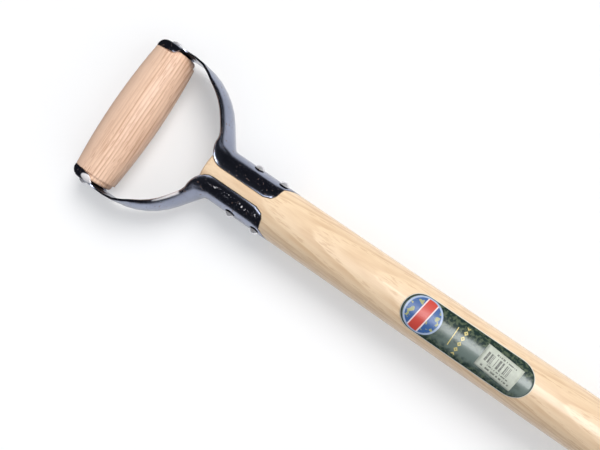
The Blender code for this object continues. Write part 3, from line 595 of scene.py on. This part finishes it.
def label_ground(graph, sheet, along, across):
    """Mottled green, with a painted glare down the middle: a pale band standing in for the
    highlight.
    """
    ground = graph.blend(graph.marks(sheet, *LEAVES), LABEL_DEEP, LABEL_LEAF)
    # Painted glare: a pale mottled band down the middle, standing in for the lacquer's highlight
    glare_swirls = graph.marks(graph.scaled(sheet, PAINTED_GLARE_STRETCH), *PAINTED_GLARE_SWIRLS)
    from_glare = graph.away(across, PAINTED_GLARE_MIDDLE)
    ragged = graph.maths("MULTIPLY_ADD", graph.noise(sheet, *PAINTED_GLARE_NOISE), PAINTED_GLARE_RAGGED, from_glare)
    glare = graph.maths("MULTIPLY", graph.fade(ragged, *PAINTED_GLARE_REACH), glare_swirls)
    past_badge = graph.fade(along, *PAINTED_GLARE_ALONG)
    thin = graph.maths("MULTIPLY_ADD", past_badge, 1.0 - PAINTED_GLARE_AT_BADGE, PAINTED_GLARE_AT_BADGE)
    return graph.blend(graph.maths("MULTIPLY", glare, thin), ground, LABEL_PAINTED_GLARE)


def with_trim(graph, ground, along, across):
    """The gold rule and the row of lozenges."""
    from_middle = graph.maths("ABSOLUTE", across)
    saw = graph.away(graph.maths("FRACT", graph.maths("DIVIDE", across, LOZENGE_PITCH)), 0.5)
    off = graph.maths("MULTIPLY_ADD", saw, LOZENGE_LEAN, graph.away(along, LOZENGE_PLACE))
    in_row = graph.fade(from_middle, *ROW_HALF_WIDTH)
    lozenges = graph.maths("MULTIPLY", graph.fade(off, *LOZENGE_REACH), in_row)
    core = graph.fade(off, *LOZENGE_CORE)
    full = graph.maths("MULTIPLY_ADD", core, -LOZENGE_CORE_LOSS, 1.0)
    ground = graph.blend(graph.maths("MULTIPLY", lozenges, full), ground, TRIM_GOLD)
    rule = graph.between(along, *RULE_ALONG, RULE_SOFT)
    rule = graph.maths("MULTIPLY", rule, graph.fade(from_middle, *RULE_HALF_WIDTH))
    return graph.blend(rule, ground, TRIM_GOLD)


def with_badge(graph, ground, sheet, along, across):
    """The blue badge, with a pale ring and a plain red ribbon."""

    def filled(distance, reach, outside, inside):
        """One colour inside a distance, and another outside it."""
        return graph.blend(graph.fade(distance, reach, reach - PRINT_EDGE), outside, inside)

    from_badge = graph.maths("SUBTRACT", along, BADGE_CENTRE)
    from_line = graph.maths("MULTIPLY_ADD", across, RIBBON_LEAN, from_badge)
    from_ribbon = graph.maths("ABSOLUTE", from_line)
    disc = graph.blend(graph.marks(sheet, *LAND), BADGE_BLUE, BADGE_LAND)
    disc = filled(from_ribbon, RIBBON_HALF_WIDTH, disc, RIBBON_EDGE)
    disc = filled(from_ribbon, RIBBON_HALF_WIDTH - RIBBON_EDGE_WIDTH, disc, RIBBON_RED)
    radius = graph.length(from_badge, across)
    ground = filled(radius, BADGE_RADIUS + BADGE_RING, ground, BADGE_PALE)
    return filled(radius, BADGE_RADIUS, ground, disc)


def label_print():
    """The label: a mottled green ground, a gold trim, and a blue badge with a plain ribbon."""
    graph = Graph("label_print")
    sheet, along, across = graph.print_place()
    ground = label_ground(graph, sheet, along, across)
    ground = with_trim(graph, ground, along, across)
    ground = with_badge(graph, ground, sheet, along, across)

    straight = LABEL_LENGTH / 2 - LABEL_HALF_WIDTH
    past_straight = graph.maths("SUBTRACT", graph.away(along, LABEL_LENGTH / 2), straight)
    reach = graph.length(graph.maths("MAXIMUM", past_straight, 0.0), across)
    inside = graph.maths("SUBTRACT", LABEL_HALF_WIDTH, reach)
    ground = graph.blend(graph.fade(inside, *DARK_RIM), ground, LABEL_DEEP)
    ground = graph.blend(graph.fade(inside, *PALE_RIM), ground, LABEL_EDGE)
    graph.set(base_color=ground, roughness=LABEL_ROUGHNESS)
    graph.set(coat_weight=LABEL_COAT, coat_roughness=LABEL_COAT_ROUGHNESS)
    graph.rough(graph.noise(sheet, *LABEL_WAVES), LABEL_WAVE_DEPTH, LABEL_WAVE_STRENGTH)
    return graph.material


def sticker_print():
    """The price sticker: plain bars and rows of marks that say nothing."""
    graph = Graph("sticker_print")
    sheet, along, across = graph.print_place()

    def printed(length_range, width_range, width, empty, first):
        """Marks of one width in a rectangle, with some left out by chance."""
        cell = graph.maths("FLOOR", graph.maths("DIVIDE", along, width))
        chance = graph.add("ShaderNodeTexWhiteNoise", noise_dimensions="1D")
        graph.feed(chance.inputs["W"], graph.maths("ADD", cell, first))
        shown = graph.maths("GREATER_THAN", chance.outputs["Value"], empty)
        in_length = graph.between(along, *length_range, STICKER_SOFT)
        in_width = graph.between(across, *width_range, STICKER_SOFT)
        return graph.maths("MULTIPLY", shown, graph.maths("MULTIPLY", in_width, in_length))

    ink = printed(*BAR_PLACE, BAR_WIDTH, BAR_EMPTY, 0.0)
    for row, place in enumerate(MARK_ROWS):
        marks = printed(*place, MARK_WIDTH, MARK_EMPTY, MARKS_IN_ROW * row)
        ink = graph.maths("MAXIMUM", ink, marks)
    fullness = graph.maths("MULTIPLY_ADD", graph.marks(sheet, *SMUDGES), SMUDGED_INK, FAINT_INK)
    ink = graph.maths("MULTIPLY", ink, fullness)
    shade = shaded(STICKER_PAPER, PAPER_SHADE)
    paper = graph.blend(graph.marks(sheet, *PAPER_CLOUD), STICKER_PAPER, shade)
    graph.set(base_color=graph.blend(ink, paper, STICKER_INK), roughness=PAPER_ROUGHNESS)
    graph.rough(graph.noise(sheet, *PAPER_FIBRES), PAPER_DEPTH, PAPER_STRENGTH)
    return graph.material


def floor_material():
    """A pale floor that looks white to the eye, and keeps the tool's shadow."""
    graph = Graph("floor")
    graph.nodes.remove(graph.shader)
    paint = graph.add("ShaderNodeBsdfDiffuse")
    graph.feed(paint.inputs["Color"], FLOOR_COLOUR)
    glow = graph.add("ShaderNodeEmission")
    graph.feed(glow.inputs["Color"], FLOOR_GLOW)
    rays = graph.add("ShaderNodeLightPath").outputs
    mirrored = graph.maths("MAXIMUM", rays["Is Glossy Ray"], rays["Is Transmission Ray"])
    graph.feed(glow.inputs["Strength"], graph.maths("MAXIMUM", rays["Is Camera Ray"], mirrored))
    lit = graph.add("ShaderNodeAddShader")
    graph.feed(lit.inputs[0], paint.outputs[0])
    graph.feed(lit.inputs[1], glow.outputs[0])
    x, y, _ = graph.parts(graph.add("ShaderNodeTexCoord").outputs["Object"])
    off_side = graph.maths("ABSOLUTE", y)
    aside = graph.fade(off_side, GLOSS_REACH - GLOSS_FADE, GLOSS_REACH + GLOSS_FADE)
    before_scoop = graph.fade(x, GLOSS_SCOOP_START, GLOSS_HANDLE_END)
    far = graph.maths("MULTIPLY", aside, before_scoop)
    past_grip = graph.fade(x, GLOSS_GRIP_START + GLOSS_FADE, GLOSS_GRIP_START - GLOSS_FADE)
    far = graph.maths("MAXIMUM", far, past_grip)
    dark = graph.add("ShaderNodeEmission")
    graph.feed(dark.inputs["Color"], ROOM)
    both = graph.add("ShaderNodeMixShader")
    graph.feed(both.inputs[0], graph.maths("MULTIPLY", far, rays["Is Glossy Ray"]))
    graph.feed(both.inputs[1], lit.outputs[0])
    graph.feed(both.inputs[2], dark.outputs[0])
    graph.feed(graph.nodes["Material Output"].inputs["Surface"], both.outputs[0])
    return graph.material


def crease_group():
    """Modifier that shades a mesh smooth except along its sharp edges."""
    group = bpy.data.node_groups.new("crease", "GeometryNodeTree")
    group.interface.new_socket("Geometry", in_out="INPUT", socket_type="NodeSocketGeometry")
    group.interface.new_socket("Geometry", in_out="OUTPUT", socket_type="NodeSocketGeometry")
    start = group.nodes.new("NodeGroupInput")
    faces = group.nodes.new("GeometryNodeSetShadeSmooth")
    edges = group.nodes.new("GeometryNodeSetShadeSmooth")
    edges.domain = "EDGE"
    edges.inputs["Shade Smooth"].default_value = False
    angle = group.nodes.new("GeometryNodeInputMeshEdgeAngle")
    sharp = group.nodes.new("FunctionNodeCompare")
    sharp.inputs["B"].default_value = SHARP_ANGLE
    end = group.nodes.new("NodeGroupOutput")
    group.links.new(start.outputs[0], faces.inputs["Geometry"])
    group.links.new(faces.outputs["Geometry"], edges.inputs["Geometry"])
    group.links.new(angle.outputs["Unsigned Angle"], sharp.inputs["A"])
    group.links.new(sharp.outputs["Result"], edges.inputs["Selection"])
    group.links.new(edges.outputs["Geometry"], end.inputs[0])
    return group


def dress(node, material, crease, bevel=0.0, level=False):
    """Give a CAD node its material, and shade it as one skin, with its edges broken."""
    piece = frame["nodes"][node]
    piece.data.materials.clear()
    piece.data.materials.append(material)
    piece.data.attributes.remove(piece.data.attributes["custom_normal"])
    weld = piece.modifiers.new("weld", "WELD")
    weld.merge_threshold = WELD_REACH
    if bevel > 0.0:
        edge = piece.modifiers.new("edge", "BEVEL")
        edge.width = bevel
        edge.segments = BEVEL_STEPS
        edge.limit_method = "ANGLE"
        edge.angle_limit = BEVEL_ANGLE
    skin = piece.modifiers.new("skin", "NODES")
    skin.node_group = crease
    if level:
        normals = piece.modifiers.new("normals", "WEIGHTED_NORMAL")
        normals.keep_sharp = True
        normals.weight = FACE_SIZE_WEIGHT


def film(name, node, tool, rows, lift, material):
    """A thin film wrapped on the shaft; rows hold (along, across, print along, print across)."""
    mesh = bmesh.new()
    uv = mesh.loops.layers.uv.new("print")
    level = SHAFT_RADIUS + lift
    grid = []
    for row in rows:
        line = []
        for along, across, u, v in row:
            turn = LABEL_TURN + across / SHAFT_RADIUS
            point = Vector((along, level * math.sin(turn), level * math.cos(turn)))
            line.append((mesh.verts.new(tool @ point), (u, v)))
        grid.append(line)
    for first, second in zip(grid, grid[1:]):
        for index in range(len(first) - 1):
            corners = (first[index], second[index], second[index + 1], first[index + 1])
            face = mesh.faces.new([vertex for vertex, place in corners])
            face.smooth = True
            for loop, (vertex, place) in zip(face.loops, corners):
                loop[uv].uv = place
    data = bpy.data.meshes.new(name)
    mesh.to_mesh(data)
    mesh.free()
    data.materials.append(material)
    piece = bpy.data.objects.new(name, data)
    bpy.context.scene.collection.objects.link(piece)
    thick = piece.modifiers.new("thickness", "SOLIDIFY")
    thick.thickness = FILM
    thick.offset = 1.0
    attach(piece, "root")
    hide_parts(node)


def label_rows():
    """The label's oblong outline, with round ends."""
    rows = []
    for step in range(LABEL_STEPS_ALONG + 1):
        row = []
        for place in range(LABEL_STEPS_ROUND + 1):
            across = -LABEL_HALF_WIDTH * math.cos(math.pi * place / LABEL_STEPS_ROUND)
            inset = LABEL_HALF_WIDTH - math.sqrt(max(LABEL_HALF_WIDTH**2 - across**2, 0.0))
            u = inset + (LABEL_LENGTH - 2 * inset) * step / LABEL_STEPS_ALONG
            row.append((LABEL_START + u, across, u, across))
        rows.append(row)
    return rows


def sticker_rows():
    """The sticker's slanted rectangle."""
    length, width = STICKER_SIZE
    cosine, sine = math.cos(STICKER_SLANT), math.sin(STICKER_SLANT)
    rows = []
    for step in range(STICKER_STEPS + 1):
        row = []
        for place in range(STICKER_STEPS + 1):
            u = length * step / STICKER_STEPS
            v = width * place / STICKER_STEPS
            x, y = u - length / 2, v - width / 2
            row.append((STICKER_CENTRE + x * cosine + y * sine, y * cosine - x * sine, u, v))
        rows.append(row)
    return rows


def add_floor():
    """The plane that the tool lies on."""
    data = bpy.data.meshes.new("floor")
    ways = ((-1, -1), (1, -1), (1, 1), (-1, 1))
    corners = [(x * FLOOR_HALF_WIDTH, y * FLOOR_HALF_WIDTH, 0.0) for x, y in ways]
    data.from_pydata(corners, [], [(0, 1, 2, 3)])
    data.materials.append(floor_material())
    floor = bpy.data.objects.new("floor", data)
    bpy.context.scene.collection.objects.link(floor)
    floor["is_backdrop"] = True


def add_world():
    """An even dome of light; the eye sees a white backdrop, and the gloss a dark room."""
    world = bpy.data.worlds.new("studio")
    bpy.context.scene.world = world
    world.use_nodes = True
    nodes, links = world.node_tree.nodes, world.node_tree.links
    nodes.clear()
    rays = nodes.new("ShaderNodeLightPath").outputs
    shown = nodes.new("ShaderNodeBackground")
    shown.inputs["Color"].default_value = (*DOME, 1.0)
    for ray, colour in (("Is Glossy Ray", ROOM), ("Is Camera Ray", BACKDROP)):
        other = nodes.new("ShaderNodeBackground")
        other.inputs["Color"].default_value = (*colour, 1.0)
        choice = nodes.new("ShaderNodeMixShader")
        links.new(rays[ray], choice.inputs[0])
        links.new(shown.outputs[0], choice.inputs[1])
        links.new(other.outputs[0], choice.inputs[2])
        shown = choice
    output = nodes.new("ShaderNodeOutputWorld")
    links.new(shown.outputs[0], output.inputs["Surface"])


def add_lamp(name, kind, place_in_row, **settings):
    """A lamp at a place, which shines down its own Z axis."""
    lamp = bpy.data.lights.new(name, kind)
    for key, value in settings.items():
        setattr(lamp, key, value)
    holder = bpy.data.objects.new(name, lamp)
    bpy.context.scene.collection.objects.link(holder)
    holder.matrix_world = place_in_row
    return holder


def add_lights(tool):
    """Two soft suns for the shadows, and two soft boxes for the gloss."""
    for name, (tilt_along, tilt_across, width, strength) in SUNS.items():
        slope_x, slope_y = math.tan(math.radians(tilt_along)), math.tan(math.radians(tilt_across))
        turn = Vector((slope_x, slope_y, 1.0)).to_track_quat("Z", "Y").to_matrix().to_4x4()
        wide = math.radians(width)
        sun = add_lamp(name, "SUN", turn, angle=wide, energy=strength, color=SUN_COLOUR)
        sun.visible_glossy = False
    for name, ((along, across), (length, width), power) in BOXES.items():
        place = tool @ Matrix.Translation((along, across, BOX_HEIGHT))
        size = {"shape": "RECTANGLE", "size": length, "size_y": width}
        box = add_lamp(name, "AREA", place, energy=power, **size)
        box.visible_diffuse = False
        box.visible_camera = False


def add_camera(tool):
    """The photograph's camera."""
    data = bpy.data.cameras.new("camera")
    data.lens = CAMERA_LENS
    data.sensor_width = CAMERA_SENSOR
    data.sensor_fit = "HORIZONTAL"
    data.clip_start = CAMERA_NEAR
    camera = bpy.data.objects.new("camera", data)
    bpy.context.scene.collection.objects.link(camera)
    right = Vector(CAMERA_RIGHT).normalized()
    up = -Vector(CAMERA_DOWN).normalized()
    turn = Matrix((right, up, right.cross(up))).transposed()
    camera.matrix_world = tool @ Matrix.Translation(CAMERA_PLACE) @ turn.to_4x4()
    bpy.context.scene.camera = camera


def box_as_lists():
    """The shown object's box, as plain lists."""
    bpy.context.view_layer.update()
    return [list(corner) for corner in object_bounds()]


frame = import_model()
cad_box = box_as_lists()
tool = tool_frame()
crease = crease_group()

shaft_wood = wood("shaft_wood", tool, **WOODS["shaft_wood"])
grip_wood = wood("grip_wood", tool, **WOODS["grip_wood"])
strap_steel = steel("strap_steel", tool, highlight_patches=PAINTED_HIGHLIGHT_PATCHES.values())
scoop_steel = steel("scoop_steel", tool)
rivet_steel = steel("rivet_steel", tool, crease_shade=True)

dress("shaft", shaft_wood, crease)
dress("grip", grip_wood, crease)
for node in ("strap_right", "strap_left", "socket_front", "socket_back"):
    dress(node, strap_steel, crease, SHEET_BEVEL)
dress("scoop_pan", scoop_steel, crease, SHEET_BEVEL, level=True)
for node in frame["nodes"]:
    if "rivet" in node or node == "grip_rod":
        dress(node, rivet_steel, crease)

label_ink = label_print()
sticker_ink = sticker_print()
on_label = FILM_LIFT + FILM
film("label_film", "label", tool, label_rows(), FILM_LIFT, label_ink)
film("sticker_film", "price_sticker", tool, sticker_rows(), on_label, sticker_ink)

add_floor()
add_world()
add_lights(tool)
add_camera(tool)

scene = bpy.context.scene
scene.view_settings.view_transform = "Standard"
{"cad": cad_box, "visual": box_as_lists()}
